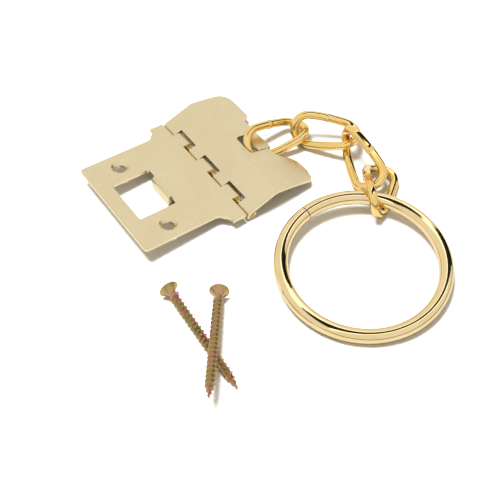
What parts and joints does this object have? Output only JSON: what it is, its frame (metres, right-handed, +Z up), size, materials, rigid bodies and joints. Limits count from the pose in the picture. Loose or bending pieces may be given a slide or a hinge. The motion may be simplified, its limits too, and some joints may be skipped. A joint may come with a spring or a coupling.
{
  "type": "door chain guard",
  "caption": "Hinged door chain guard: strike leaf with latch hole, curved chain leaf, short wire chain ending in a knob ring, and loose wood screws.",
  "frame": {"origin": "centre of the underside of the whole set's bounding box, on the surface that it lies on", "axes": "+X across the hinge from the strike leaf to the chain leaf, +Y along the hinge pin, +Z up from the surface"},
  "size_m": [0.1386, 0.1586, 0.0195],
  "materials": {
    "plated_sheet": "bright brass plating on pressed steel sheet",
    "polished_wire": "polished brass plating on steel wire",
    "yellow_zinc": "yellow zinc plating with faint iridescence"
  },
  "bodies": {
    "strike_leaf": {"strike_leaf": "plated_sheet", "hinge_pin": "polished_wire"},
    "chain_leaf": {"chain_leaf": "plated_sheet"},
    "chain_link_1": {"chain_link_1": "polished_wire"},
    "chain_link_2": {"chain_link_2": "polished_wire"},
    "chain_link_3": {"chain_link_3": "polished_wire"},
    "chain_link_4": {"chain_link_4": "polished_wire"},
    "knob_ring": {"knob_ring": "polished_wire"},
    "screw_1": {"screw_1": "yellow_zinc"},
    "screw_2": {"screw_2": "yellow_zinc"}
  },
  "joints": [
    {"name": "leaf_hinge", "type": "hinge", "parent": "strike_leaf", "child": "chain_leaf", "pos_m": [-0.00011, 0.04441, 0.0025], "axis": [0, -1, 0], "range_deg": [-110, 70]},
    {"name": "link_1_swing", "type": "hinge", "parent": "chain_leaf", "child": "chain_link_1", "pos_m": [0.02669, 0.04241, 0.0056], "axis": [-0.2191, 0.946, 0.239], "range_deg": [-24, 9]},
    {"name": "link_2_swing", "type": "hinge", "parent": "chain_link_1", "child": "chain_link_2", "pos_m": [0.05051, 0.03804, 0.00607], "axis": [-0.1073, -0.9501, 0.2928], "range_deg": [-1.5, 12]},
    {"name": "link_3_swing", "type": "hinge", "parent": "chain_link_2", "child": "chain_link_3", "pos_m": [0.06473, 0.01552, 0.00928], "axis": [-0.7678, -0.6289, 0.1226], "range_deg": [-4, 12]},
    {"name": "link_4_swing", "type": "hinge", "parent": "chain_link_3", "child": "chain_link_4", "pos_m": [0.05391, -0.01037, 0.00537], "axis": [0.884, -0.2811, 0.3737], "range_deg": [-10, 10]},
    {"name": "ring_swing", "type": "hinge", "parent": "chain_link_4", "child": "knob_ring", "pos_m": [0.0428, -0.02302, 0.00969], "axis": [-0.0361, 0.3461, 0.9375], "range_deg": [-10, 3]},
    {"name": "screw_1_lift", "type": "slide", "parent": "strike_leaf", "child": "screw_1", "axis": [0, 0, 1], "range_m": [0, 0.03]},
    {"name": "screw_2_lift", "type": "slide", "parent": "screw_1", "child": "screw_2", "axis": [0, 0, 1], "range_m": [0, 0.03]}
  ]
}
